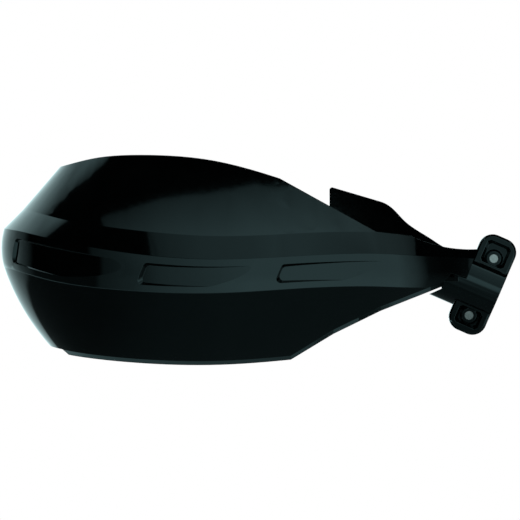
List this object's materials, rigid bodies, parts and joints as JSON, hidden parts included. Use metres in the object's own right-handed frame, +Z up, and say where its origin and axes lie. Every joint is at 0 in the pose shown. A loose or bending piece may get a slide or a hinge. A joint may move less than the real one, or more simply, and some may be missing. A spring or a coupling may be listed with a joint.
{
  "type": "motorcycle hand guard",
  "caption": "Curved, creased shell that shields a rider's hand, on an arm bracket with a split clamp for the handlebar.",
  "frame": {"origin": "on the handlebar's axis, midway along the clamp", "axes": "+X toward the middle of the vehicle, +Y back toward the rider, +Z up"},
  "size_m": [0.2907, 0.1055, 0.1181],
  "materials": {
    "shield_plastic": "gloss moulding",
    "bracket_plastic": "fine moulded grain",
    "bolt_steel": "zinc plated",
    "screw_steel": "plain",
    "insert_brass": "turned"
  },
  "bodies": {
    "root": {"shield": "shield_plastic", "bracket": "bracket_plastic", "clamp_cap": "bracket_plastic", "clamp_bolts": "bolt_steel", "shield_screws": "screw_steel", "screw_washers": "screw_steel", "boss_inserts": "insert_brass"}
  },
  "joints": []
}
